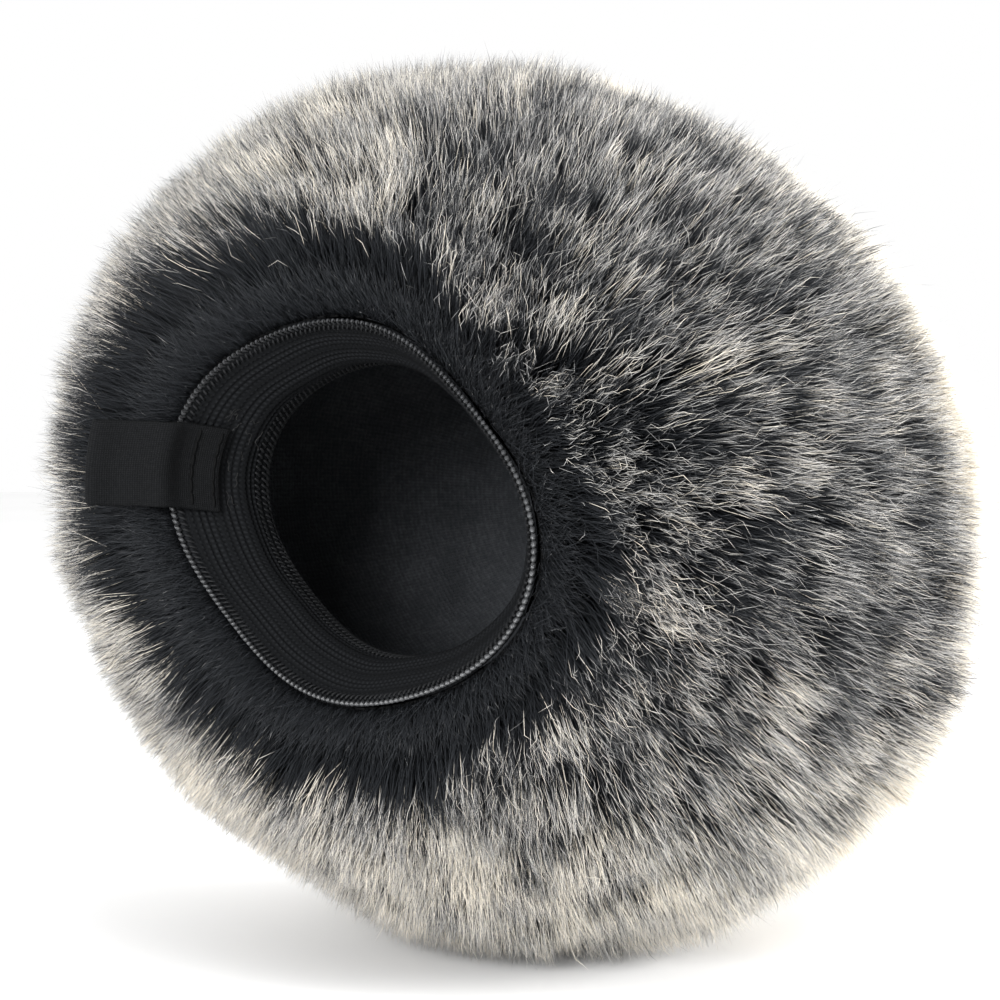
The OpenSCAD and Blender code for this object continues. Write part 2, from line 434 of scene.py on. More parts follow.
def tube_template(path, radius, sides=8):
    """Points and faces of a round wire along a path, with rounded ends."""
    path = np.asarray(path, float)
    start, end = unit(path[0] - path[1]), unit(path[-1] - path[-2])
    cap = [(0.95, 0.35), (0.6, 0.8)]
    centres = [path[0] + start * radius * out for out, _ in cap] + list(path)
    centres += [path[-1] + end * radius * out for out, _ in cap[::-1]]
    radii = [radius * share for _, share in cap] + [radius] * len(path)
    radii += [radius * share for _, share in cap[::-1]]
    centres, radii = np.array(centres), np.array(radii)
    tangent = unit(np.gradient(centres, axis=0))
    across = np.cross(tangent[0], (0.3, 0.5, 0.8))
    turn = np.arange(sides) * TAU / sides
    rings = []
    for centre, t, r in zip(centres, tangent, radii):
        across = unit(across - t * (across @ t))
        other = np.cross(t, across)
        rings.append(centre + r * (np.cos(turn)[:, None] * across + np.sin(turn)[:, None] * other))
    faces, ends = ring_faces(len(rings), sides)
    return np.concatenate(rings), [faces[:, ::-1], ends[:, ::-1]]


def lobe_template(half_length, half_width, half_height, rings=7, sides=8):
    """A closed rounded bead, long along its first axis."""
    along = np.cos(np.linspace(0, math.pi, rings + 2)[1:-1])
    width = np.sin(np.linspace(0, math.pi, rings + 2)[1:-1]) ** 0.7
    turn = np.arange(sides) * TAU / sides
    points = np.stack([
        np.repeat(along * half_length, sides),
        (width[:, None] * np.cos(turn) * half_width).ravel(),
        (width[:, None] * np.sin(turn) * half_height).ravel(),
    ], 1)
    return points, list(ring_faces(rings, sides))


def stamped(template, origins, axes):
    """Copies of a template, one at each origin, turned to each triple of axes."""
    points, faces = template
    placed = np.einsum("pk,nkc->npc", points, axes) + origins[:, None, :]
    step = np.arange(len(origins)) * len(points)
    return placed.reshape(-1, 3), [(f[None] + step[:, None, None]).reshape(-1, f.shape[1]) for f in faces]


def ring_frames(angles, radius, depth):
    """Places on a circle round the mouth's axis, with axes radial, along +Y and round the circle."""
    radial, around = ring_directions(angles)
    depthwise = np.tile([0.0, 1.0, 0.0], (len(angles), 1))
    origins = radial * radius + depthwise * depth
    return origins, np.stack([radial, depthwise, around], 1)


def funnel_r(y):
    """Radius of the band's inner face at depth y."""
    share = np.clip((y - RIM_Y) / (FUNNEL_Y - RIM_Y), 0, 1)
    return RIM_R + (GRIP_R - RIM_R) * share


# ---------- The layers of the ball ----------
def neck_r(y):
    """Radius of the fur's inner face in the neck at depth y."""
    return MOUTH_R + (FOOT_R - MOUTH_R) * (y - RIM_Y) / (FOOT_Y - RIM_Y)


def layer_profile(inset, front_y, count):
    """Radius and depth along a layer, from its front edge over the ball to the crown."""
    slope = (neck_r(MM) - neck_r(0)) / MM
    r = FUR_IN_R - inset
    neck_y = np.linspace(front_y, FOOT_Y, 40)
    neck = np.stack([neck_r(neck_y) - inset * math.hypot(1, slope), neck_y], 1)
    angle = np.linspace(NECK_ANGLE + 0.06, math.pi, 400)
    arc = np.stack([r * np.sin(angle), CENTRE_Y - r * np.cos(angle)], 1)
    whole = np.concatenate([neck, arc])
    length = run_length(whole)
    fine = np.linspace(0, length[-1], 900)
    line = read_line(fine, length, whole)
    eased = np.stack([averaged(line[:, k], 41) for k in (0, 1)], 1)
    blend_in = smooth_step(np.minimum(fine, fine[-1] - fine) / (6 * MM))[:, None]
    line = line * (1 - blend_in) + eased * blend_in
    at = np.linspace(0, length[-1], count)
    return read_line(at, fine, line), at


def half_layer(name, side, outer_inset, inner_inset, front_y, material, rows, cols, slack=0.0):
    """One half of a sewn layer: a closed sheet between two insets, on one side of the seams."""
    span = math.pi / 2 - 0.004
    angle = MIDDLE[side] + np.linspace(-span, span, cols)
    grids = []
    for inset in (outer_inset, inner_inset):
        profile, at = layer_profile(inset, front_y, rows)
        r, y = np.maximum(profile[:, 0], 0)[:, None], profile[:, 1][:, None]
        grids.append(np.stack([r * np.cos(angle), y + 0 * angle, r * np.sin(angle)], 2))
    middle_surface = (grids[0] + grids[1]) / 2
    away = unit(middle_surface - BALL_CENTRE)
    ripple = waves(middle_surface, 22 * MM, 31) * 0.6 + waves(middle_surface, 9 * MM, 32) * 0.4
    edge = smooth_step(np.minimum(at, 12 * MM) / (12 * MM))[:, None]
    grids = [g - away * (slack * edge * (0.5 + 0.5 * ripple))[:, :, None] for g in grids]
    count = rows * cols
    faces, corner_rows, corner_cols = grid_faces(rows, cols)
    uv = np.stack([at[corner_rows], (angle[corner_cols] - angle[0]) * FUR_IN_R * 0.8], 2)
    loop = [i * cols for i in range(rows)] + [(rows - 1) * cols + j for j in range(1, cols)]
    loop += [i * cols + cols - 1 for i in range(rows - 2, -1, -1)] + list(range(cols - 2, 0, -1))
    loop = np.array(loop)
    following = np.roll(loop, -1)
    edges = np.stack([loop, following, following + count, loop + count], 1)
    points = squeezed(np.concatenate([g.reshape(-1, 3) for g in grids]))
    edge_uv = np.zeros((len(edges), 4, 2))
    made = make_object(
        name, points, [faces, faces[:, ::-1] + count, edges], material, "cloth",
        np.concatenate([uv, uv[:, ::-1], edge_uv]).reshape(-1, 2),
    )
    return merge_close(made)


def half_area(inset, front_y):
    """The cloth in one half of a layer, in square metres."""
    profile, at = layer_profile(inset, front_y, 400)
    step = np.diff(at)
    return float((step * (profile[1:, 0] + profile[:-1, 0]) / 2).sum() * math.pi)


# ---------- Fur ----------
FUR_FRONT_Y = RIM_Y + 1.0 * MM
HAIRS = 255000
HAIR_RINGS = np.array([0.0, 0.48, 0.87])
HAIR_STEPS = np.append(HAIR_RINGS, 1.0)
HAIR_RADII = np.array([0.058, 0.054, 0.039]) * MM
HAIRS_IN_PIECE = 12000
TUFTS = 3800
WISP = 9
STRAY_SHARE = 0.04
EDGE_HAIRS = HAIRS // 16
FORWARD = np.array([0.0, -1.0, 0.0])

# Steps that spread numbered hairs evenly, over the backing and round the rim
EVEN_STEPS = (0.7548776662466927, 0.5698402909980532)
GOLDEN_ANGLE = 2.399963

# How pale the hairs are on each side, further back and below, and how wide the dark zone is. The paleness at
# the back is partly painted light for the brightly lit side; the paleness below is painted light for a lit
# underside.
PALE_LEFT, PALE_RIGHT = 0.46, 0.31
PALE_AND_PAINTED_LIGHT_BACK = 0.66
BACK_FROM, BACK_SPAN = math.radians(87), math.radians(15)
PAINTED_LIGHT_BELOW = 0.30
PAINTED_LIGHT_BELOW_FROM, PAINTED_LIGHT_BELOW_SPAN = 0.3, 0.5
DARK_LEFT, DARK_RIGHT = 2.6 * MM, 1.0 * MM


def hair_roots(count):
    """Evenly spread places on the backing: points, their angle round the mouth's axis, their polar
    angle and their distance from the rim."""
    profile, at = layer_profile(-BACKING_T, FUR_FRONT_Y, 2000)
    ring = np.concatenate([[0], np.cumsum((profile[1:, 0] + profile[:-1, 0]) / 2 * np.diff(at))])
    number = np.arange(count)
    share = (0.5 + number * EVEN_STEPS[0]) % 1.0
    turn = (0.5 + number * EVEN_STEPS[1]) % 1.0 * TAU
    from_rim = np.interp(share * ring[-1], ring, at)
    r = np.interp(from_rim, at, profile[:, 0])
    y = np.interp(from_rim, at, profile[:, 1])
    points = np.stack([r * np.cos(turn), y, r * np.sin(turn)], 1)
    return points, turn, np.arctan2(r, CENTRE_Y - y), from_rim


def clump_numbers(points, centres):
    """For each point, the number of the nearest centre."""
    tree = KDTree(len(centres))
    for i, centre in enumerate(centres):
        tree.insert(centre, i)
    tree.balance()
    return np.array([tree.find(p)[1] for p in points])


def tuft_means(lines, tuft):
    """The middle line of each tuft's hairs."""
    share = 1 / np.maximum(np.bincount(tuft, minlength=TUFTS), 1)
    flat = lines.reshape(len(lines), -1)
    means = [np.bincount(tuft, weights=column, minlength=TUFTS) * share for column in flat.T]
    return np.stack(means, 1).reshape(TUFTS, *lines.shape[1:])


def hair_lines():
    """The hairs' centre lines, and for each how pale it is, its angle round the mouth and whether it
    is on the left panel."""
    roots, turn, polar, from_rim = hair_roots(HAIRS)
    from_seam = seam_distance(roots)
    left = from_seam < 0
    draw = np.random.default_rng(41)

    # Directions: away from the rim, and upright further back
    near_rim = np.exp(-from_rim / (26 * MM))
    lean = np.radians(np.where(left, 15.0, 9.0)) * near_rim + math.radians(3)
    lean = lean + np.radians(5) * waves(roots, 30 * MM, 1) + np.radians(4) * waves(roots, 12 * MM, 2)
    sideways = np.radians(6) * waves(roots, 34 * MM, 3) + np.radians(4) * waves(roots, 12 * MM, 4)
    parting = np.exp(-np.abs(from_seam) / (2.5 * MM)) * smooth_step(from_rim / (10 * MM))
    sideways = sideways + 0.25 * parting * np.sign(from_seam) * np.sign(-roots[:, 2])

    # Tufts, each with its own lean
    tuft = clump_numbers(roots, roots[draw.choice(HAIRS, TUFTS, replace=False)])

    def by_tuft():
        return draw.normal(size=TUFTS)[tuft]

    def by_hair():
        return draw.normal(size=HAIRS)

    lean = lean + np.radians(4.5) * by_tuft()
    sideways = sideways + np.radians(4.5) * by_tuft()
    lean = lean + np.radians(6) * by_hair()
    sideways = sideways + np.radians(6) * by_hair()
    stray = draw.random(HAIRS) < STRAY_SHARE
    lean = lean + stray * np.radians(14) * by_hair()
    sideways = sideways + stray * np.radians(14) * by_hair()

    outward, around = ring_directions(turn)
    angle = (polar + lean)[:, None]
    straight = np.sin(angle) * outward + np.cos(angle) * FORWARD
    backward = np.cos(angle) * outward - np.sin(angle) * FORWARD
    straight = unit(straight + np.tan(sideways)[:, None] * around)
    bend = backward * (0.10 + 0.10 * by_hair())[:, None]
    bend = bend + around * (0.10 * by_hair())[:, None]
    bend[:, 2] -= 0.05

    # Length: to the outline of the pile
    length = BALL_R - BACKING_R
    reach = 1.01 + 0.012 * waves(roots, 30 * MM, 5) + 0.010 * by_tuft()
    reach = reach + 0.02 * np.abs(roots[:, 2] / BACKING_R)
    shortfall = np.abs(by_hair()) * 0.020
    reach = BALL_R * (reach - shortfall)
    tip = roots + length * (straight + bend)
    root_r = np.linalg.norm(roots - BALL_CENTRE, axis=1)
    tip_r = np.linalg.norm(tip - BALL_CENTRE, axis=1)
    length = length * np.clip((reach - root_r) / (tip_r - root_r), 0.3, 1.4)
    lines = roots[:, None, :] + length[:, None, None] * (
        straight[:, None, :] * HAIR_STEPS[:, None] + bend[:, None, :] * HAIR_STEPS[:, None] ** 2
    )

    # Crimp: each hair wanders a little on its way
    wander = draw.normal(size=(HAIRS, len(HAIR_STEPS), 3)) * (0.75 * MM)
    wander[:, 0] = 0
    lines = lines + wander * HAIR_STEPS[:, None] ** 1.5

    # Tufts close up towards their middles, and wisps of neighbours gather to one hair
    close = draw.uniform(0.1, 0.6, HAIRS)[:, None, None] * HAIR_STEPS[:, None] ** 1.8
    centres = tuft_means(lines, tuft)
    lines = lines + close * (~stray)[:, None, None] * (centres[tuft] - lines)
    leaders = draw.choice(HAIRS, HAIRS // WISP, replace=False)
    leader = leaders[clump_numbers(roots, roots[leaders])]
    gather = draw.uniform(0.0, 0.35, HAIRS)[:, None, None] * HAIR_STEPS[:, None] ** 1.6
    gather = gather * (~stray)[:, None, None]
    lines = lines + gather * (lines[leader] - lines)

    # Paleness: patches, tufts and single hairs; dark round the mouth; palest at the back, partly painted
    # light; paler below, painted light
    pale = np.where(left, PALE_LEFT, PALE_RIGHT) + PALE_AND_PAINTED_LIGHT_BACK * smooth_step((polar - BACK_FROM) / BACK_SPAN)
    # Paler underneath: painted light, brightening the bottom of the ball as if it were lit from below
    pale = pale + PAINTED_LIGHT_BELOW * smooth_step((-PAINTED_LIGHT_BELOW_FROM - roots[:, 2] / BACKING_R) / PAINTED_LIGHT_BELOW_SPAN)
    pale = pale + 0.07 * waves(roots, 12 * MM, 6) + 0.12 * waves(roots, 5.5 * MM, 7)
    pale = pale + 0.12 * by_tuft() + 0.20 * by_hair()
    dark_zone = np.where(left, DARK_LEFT, DARK_RIGHT) * np.maximum(0.1, 1 + 0.6 * waves(roots, 15 * MM, 8))
    pale = pale - np.where(left, 0.5, 0.4) * (1 - smooth_step(from_rim / dark_zone))
    keep = (np.abs(from_seam) > 0.5 * MM) | (draw.random(HAIRS) < 0.3)
    pale = np.clip(pale, 0.02, 0.98)
    sets = [x[keep] for x in (lines, pale, turn, left)]
    return [np.concatenate(pair) for pair in zip(sets, edge_hairs())]


def edge_hairs():
    """Short dark hairs that stand on the front edge of the ground, close round the mouth."""
    count = EDGE_HAIRS
    draw = np.random.default_rng(42)
    turn = np.arange(count) * GOLDEN_ANGLE % TAU
    outward, around = ring_directions(turn)
    edge = RIM_R + BAND_T + draw.uniform(0.0, 1.0, count) ** 1.5 * 2.2 * MM
    roots = outward * edge[:, None]
    roots[:, 1] = RIM_Y + draw.uniform(0.4 * MM, 1.3 * MM, count)
    lean = np.radians(draw.normal(46, 14, count))[:, None]
    course = np.sin(lean) * outward + np.cos(lean) * FORWARD + around * draw.normal(0, 0.25, count)[:, None]
    curl = outward * draw.normal(0.25, 0.15, count)[:, None] + around * draw.normal(0, 0.2, count)[:, None]
    length = (2 + 7 * draw.uniform(0, 1, count) ** 1.6)[:, None, None] * MM
    shape = course[:, None, :] * HAIR_STEPS[:, None] + curl[:, None, :] * HAIR_STEPS[:, None] ** 2
    lines = roots[:, None, :] + length * shape
    pale = np.clip(draw.normal(0.03, 0.12, count), 0.02, 0.6)
    return lines, pale, turn, seam_distance(roots) < 0


def on_the_floor(points):
    """Pile that would reach below the floor lies flattened on it."""
    soft = 2.5 * MM
    low = points[..., 2] < FLOOR_Z + soft
    sunk = np.where(low, FLOOR_Z + soft - points[..., 2], 0)
    points[..., 2] = np.where(low, FLOOR_Z + soft * np.exp(-sunk / soft), points[..., 2])
    return points


def hair_template():
    """The faces of one three-sided hair, and each corner's place round it and along it."""
    faces, places = [], []
    for i, (low, high) in enumerate(zip(HAIR_RINGS, HAIR_RINGS[1:])):
        for k in range(3):
            a, b = i * 3 + k, i * 3 + (k + 1) % 3
            faces += [(a, b, b + 3), (a, b + 3, a + 3)]
            places += [((k, low), (k + 1, low), (k + 1, high)), ((k, low), (k + 1, high), (k, high))]
    last = (len(HAIR_RINGS) - 1) * 3
    for k in range(3):
        faces.append((last + k, last + (k + 1) % 3, last + 3))
        places.append(((k, HAIR_RINGS[-1]), (k + 1, HAIR_RINGS[-1]), (k + 0.5, 1.0)))
    faces.append((2, 1, 0))
    places.append(((2, 0.0), (1, 0.0), (0, 0.0)))
    return np.array(faces), np.array(places, float)


def add_fur(material):
    """The pile: thin closed hairs, in pieces that are sectors of each panel."""
    lines, pale, turn, left = hair_lines()
    lines = on_the_floor(squeezed(lines))
    count, rings = len(lines), len(HAIR_RINGS)
    tangent = lines[:, 1:] - lines[:, :-1]
    tangent = unit(np.concatenate([tangent[:, :1], tangent[:, 1:] + tangent[:, :-1]], 1))
    draw = np.random.default_rng(43)
    first = unit(np.cross(tangent, draw.normal(size=(count, 1, 3))))
    second = np.cross(tangent, first)
    thick = draw.uniform(0.75, 1.2, count)[:, None, None]
    points = np.zeros((count, rings * 3 + 1, 3))
    for k in range(3):
        c, s = math.cos(TAU * k / 3), math.sin(TAU * k / 3)
        points[:, k:rings * 3:3] = lines[:, :rings] + thick * HAIR_RADII[:, None] * (c * first + s * second)
    points[:, -1] = lines[:, -1]

    template, places = hair_template()
    made = []
    for side, chosen in (("left", left), ("right", ~left)):
        numbers = np.flatnonzero(chosen)
        offset = (turn[numbers] - MIDDLE[side] + math.pi) % TAU - math.pi
        numbers = numbers[np.argsort(offset, kind="stable")]
        pieces = math.ceil(len(numbers) / HAIRS_IN_PIECE)
        for piece, part in enumerate(np.array_split(numbers, pieces)):
            step = np.arange(len(part)) * points.shape[1]
            faces = (template[None] + step[:, None, None]).reshape(-1, 3)
            uv = np.empty((len(part), len(template), 3, 2))
            uv[..., 0] = 0.01 + 0.98 * places[..., 1]
            uv[..., 1] = pale[part][:, None, None] + 0.002 * (places[..., 0] - 1.5)
            obj = make_object(
                f"pile_{side}_{piece + 1:02d}", points[part].reshape(-1, 3), faces, material,
                "OFBake", uv.reshape(-1, 2),
            )
            made.append(on_shell(obj, "fur"))
    return made


def add_ball_layers():
    """The fur with its ground, the foam and the lining, each in two halves."""
    backing, foam, lining = backing_material(), foam_material(), lining_material()
    piles = add_fur(fur_material())
    lining_out = FUR_IN_R - LINING_OUT_R
    foam_in = lining_out - LINER_GAP
    for side in ("left", "right"):
        sheet = half_layer(f"fur_ground_{side}", side, -BACKING_T, 0, FUR_FRONT_Y, backing, 90, 72)
        on_shell(sheet, "fur", f"fur_panel_{side}")
        half_area(-BACKING_T / 2, FUR_FRONT_Y)
        pad = half_layer(f"foam_{side}", side, LINER_GAP, foam_in, LINER_FRONT_Y, foam, 90, 72)
        on_shell(pad, "foam", f"foam_liner_{side}")
        inner = half_layer(
            f"lining_cloth_{side}", side, lining_out, lining_out + LINING_T, LINER_FRONT_Y, lining, 120, 96,
            slack=0.9 * MM,
        )
        on_shell(inner, "lining", f"lining_{side}")
        half_area(lining_out, LINER_FRONT_Y)


def seam_stitches(name, radius, material, replaced, pitch=2.6 * MM):
    """A row of short stitches along the seam, over the crown from neck to neck."""
    span = TAU - 2 * NECK_ANGLE
    count = int(span * radius / pitch)
    angle = NECK_ANGLE + (np.arange(count) + 0.5) / count * span
    seam = np.array([math.sin(TURN), 0.0, math.cos(TURN)])
    out = np.sin(angle)[:, None] * seam + -np.cos(angle)[:, None] * np.array([0.0, 1.0, 0.0])
    along = np.cos(angle)[:, None] * seam + np.sin(angle)[:, None] * np.array([0.0, 1.0, 0.0])
    across = np.cross(out, along)
    length = pitch * 0.72
    path = [(x * length / 2, 0, (1 - x * x) * 0.12 * MM) for x in np.linspace(-1, 1, 5)]
    template = tube_template(path, THREAD_R * 0.8)
    origins = out * radius + BALL_CENTRE
    points, faces = stamped(template, origins, np.stack([along, across, out], 1))
    made = make_object(name, squeezed(points), faces, material)
    return on_shell(made, "thread", replaced)


# ---------- The mouth ----------
BEADS = 204
EDGE_BEADS = 170
LOOP_WIRE_R = 0.19 * MM
SEWING_STITCHES = 80


def elastic_web():
    """The knitted band: a funnel with fine ribs round it and a straight ring at its inner edge."""
    rows, cols = 96, 480
    y = np.linspace(RIM_Y, INNER_Y, rows)
    inner_r = funnel_r(y)
    length = run_length(np.stack([inner_r, y], 1))
    inner_r = averaged(inner_r, 13) * 0.7 + inner_r * 0.3
    rib = 0.09 * MM * np.cos(TAU * length / (1.25 * MM))
    inner = inner_r + rib + 0.1 * MM
    outer = inner_r + BAND_T + rib
    loop_r = np.concatenate([inner, outer[::-1]])
    loop_y = np.concatenate([y, y[::-1]])
    along = np.concatenate([length, length[::-1]])
    angle = np.arange(cols) * TAU / cols
    swell = 1 + 0.004 * np.sin(7 * angle + 1) + 0.004 * np.sin(11 * angle)
    r = loop_r[:, None] * swell
    points = np.stack([r * np.cos(angle), loop_y[:, None] + 0 * angle, r * np.sin(angle)], 2)
    faces, corner_rows, corner_cols = grid_faces(len(loop_r), cols, wrap_rows=True, wrap_cols=True)
    uv = np.stack([along[corner_rows % len(along)], corner_cols * TAU / cols * RIM_R], 2)
    made = make_object(
        "elastic_web", squeezed(points.reshape(-1, 3)), faces, elastic_material(), "cloth", uv.reshape(-1, 2)
    )
    return merge_close(made)


def slanted(axes, lean, tip):
    """Ring axes turned so that the third leans towards the second, with the second tipped inwards."""
    radial, depthwise, around = axes[:, 0], axes[:, 1], axes[:, 2]
    wall = depthwise * math.cos(tip) - radial * math.sin(tip)
    face = radial * math.cos(tip) + depthwise * math.sin(tip)
    along = around * math.cos(lean) + wall * math.sin(lean)
    across = np.cross(along, face)
    return np.stack([along, across, face], 1)


def bead_ring(name, count, radius, depth, lobe, lean, material):
    """A ring of slanted beads that overlap like the turns of a cord."""
    angle = np.arange(count) * TAU / count
    origins, axes = ring_frames(angle, radius, depth)
    points, faces = stamped(lobe_template(*lobe), origins, slanted(axes, lean, 0.0))
    return make_object(name, squeezed(points), faces, material)


def loop_row(count, radius, depth, length, lean, tip, lift):
    """A row of short raised stitches on the band's inner face."""
    angle = (np.arange(count) + 0.5) * TAU / count
    origins, axes = ring_frames(angle, radius, depth)
    path = [(x * length / 2, 0, -(1 - x * x) * lift) for x in np.linspace(-1, 1, 5)]
    template = tube_template(path, LOOP_WIRE_R, 6)
    return stamped(template, origins, slanted(axes, math.pi / 2 - lean, tip))


def joined(parts):
    """One set of points and faces from several."""
    points, faces, base = [], [], 0
    for p, f in parts:
        points.append(p)
        faces += [x + base for x in f]
        base += len(p)
    return np.concatenate(points), faces


def add_mouth():
    """The elastic with its corded edges and its sewing."""
    dull = yarn_material("elastic_loop_yarn", grey(0.003, -0.10), grey(0.014, -0.08), 0.6)
    cord = yarn_material("elastic_cord_yarn", grey(0.02, -0.06), grey(0.09, -0.04), 0.3, 0.6)
    inner_yarn = yarn_material("inner_edge_yarn", grey(0.004, -0.08), grey(0.02, -0.06), 0.55)
    thread = yarn_material("black_thread", grey(0.0015, -0.08), grey(0.004, -0.06), 0.7, 0.08)
    web = elastic_web()
    wall = math.atan2(RIM_R - GRIP_R, FUNNEL_Y - RIM_Y)

    beads = bead_ring(
        "rim_cord_beads", BEADS, RIM_R + RIM_CORD_R * 0.9, RIM_Y - RIM_CORD_R * 0.6,
        (0.56 * MM, RIM_CORD_R * 0.5, RIM_CORD_R * 0.62), math.radians(38), cord,
    )
    on_shell(beads, "elastic_cord", "rim_cord")
    loops = joined([
        loop_row(BEADS, funnel_r(RIM_Y + 0.7 * MM), RIM_Y + 0.4 * MM, 1.0 * MM, math.radians(24), wall,
                 0.18 * MM),
        loop_row(BEADS, RIM_R + 0.15 * MM, RIM_Y - 0.7 * MM, 0.7 * MM, math.radians(-20), wall, 0.12 * MM),
    ])
    loops = make_object("rim_loops", squeezed(loops[0]), loops[1], dull)
    on_shell(loops, "elastic_cord", "rim_stitch")

    edge = bead_ring(
        "inner_cord_beads", EDGE_BEADS, GRIP_R + INNER_CORD_R, INNER_Y + INNER_CORD_R * 0.8,
        (0.75 * MM, INNER_CORD_R * 0.7, INNER_CORD_R * 0.95), math.radians(32), inner_yarn,
    )
    on_shell(edge, "elastic_cord", "inner_cord")
    rows = joined([
        loop_row(EDGE_BEADS, GRIP_R + 0.08 * MM, INNER_Y - ahead, 1.1 * MM, math.radians(28), 0.0, 0.15 * MM)
        for ahead in (0.7 * MM, 2.5 * MM)
    ])
    rows = make_object("inner_edge_loops", squeezed(rows[0]), rows[1], inner_yarn)
    on_shell(rows, "elastic_cord", "inner_stitch")

    on_shell(web, "elastic", "elastic_band")

    # Hidden sewing: the band to the fur, and the band's two ends to each other
    angle = np.arange(SEWING_STITCHES) * TAU / SEWING_STITCHES
    sewing_y = (mouth_thread_low.y + mouth_thread_high.y) / 2
    origins, axes = ring_frames(angle, mouth_thread_high.x - THREAD_R, sewing_y)
    path = [(0, 0, x * 0.9 * MM) for x in np.linspace(-1, 1, 4)]
    points, faces = stamped(tube_template(path, THREAD_R * 0.9), origins, axes)
    sewing = make_object("mouth_seam_stitches", squeezed(points), faces, thread)
    on_shell(sewing, "thread", "mouth_seam_thread")

    tack_low, tack_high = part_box("band_join_tack")
    steps = 9
    zigzag = [
        (0, (tack_low.y + tack_high.y) / 2 + (i / (steps - 1) - 0.5) * (tack_high.y - tack_low.y - 0.6 * MM),
         (1.1 * MM if i % 2 else -1.1 * MM))
        for i in range(steps)
    ]
    origins, axes = ring_frames(np.array([-TURN]), GRIP_R + BAND_T + THREAD_R + 0.12 * MM, 0)
    points, faces = stamped(tube_template(zigzag, THREAD_R * 0.9), origins, axes)
    tack = make_object("band_join_zigzag", squeezed(points), faces, thread)
    on_shell(tack, "thread", "band_join_tack")
    return thread


# ---------- The pull tab ----------
FLAP_LEAN = math.radians(44)
FLAP_LEN = 11.6 * MM
TAB_SKEW = math.radians(-9)
ROOT_LEN = 5.5 * MM
RIBBON_T = 0.62 * MM
TAB_DROP = 0.7 * MM


def tab_centre_line():
    """Points of the tab's middle line: distance from the mouth's axis, and distance forward."""
    end_y = RIM_Y + ROOT_LEN
    bend = np.array([PIVOT_R, -PIVOT.y])
    out = np.array([math.cos(FLAP_LEAN), math.sin(FLAP_LEAN)])
    knots = np.array([
        (funnel_r(end_y) - 0.9 * MM, -end_y),
        (funnel_r(end_y - 2.5 * MM) - 0.85 * MM, -end_y + 2.5 * MM),
        (PIVOT_R - 0.1 * MM, -RIM_Y + 0.2 * MM),
        bend + out * 0.9 * MM + np.array([-0.25 * MM, 0.5 * MM]),
        bend + out * FLAP_LEN * 0.35 + np.array([-0.1 * MM, 0.25 * MM]),
        bend + out * FLAP_LEN * 0.7,
        bend + out * (FLAP_LEN - 0.2 * MM),
    ])
    fine = np.linspace(0, len(knots) - 1, 120)
    line = np.stack([catmull(knots[:, k], fine) for k in (0, 1)], 1)
    length = run_length(line)
    at = np.linspace(0, length[-1], 44)
    return read_line(at, length, line), at


def catmull(values, t):
    """A smooth curve through values, read at t, which counts from the first value."""
    i = np.clip(t.astype(int), 0, len(values) - 2)
    f = t - i
    p1, p2 = values[i], values[i + 1]
    p0, p3 = values[np.maximum(i - 1, 0)], values[np.minimum(i + 2, len(values) - 1)]
    return 0.5 * (2 * p1 + (p2 - p0) * f + (2 * p0 - 5 * p1 + 4 * p2 - p3) * f ** 2
                  + (3 * p1 - p0 - 3 * p2 + p3) * f ** 3)


def tab_place(radial, ahead, width, past_bend):
    """Points of the tab in the frame, from distances out from the axis, forward and across the ribbon."""
    drift = np.maximum(past_bend, 0) * math.sin(TAB_SKEW) - TAB_DROP
    out = np.array([math.cos(TAB_ANGLE), 0, math.sin(TAB_ANGLE)])
    wide = np.array([math.sin(TURN), 0, math.cos(TURN)])
    sag = (1 - smooth_step((past_bend + 3 * MM) / (6 * MM))) * width ** 2 / (2 * RIM_R)
    radial = radial - sag
    points = radial[..., None] * out + (width + drift)[..., None] * wide
    points[..., 1] = -ahead
    return squeezed(points)


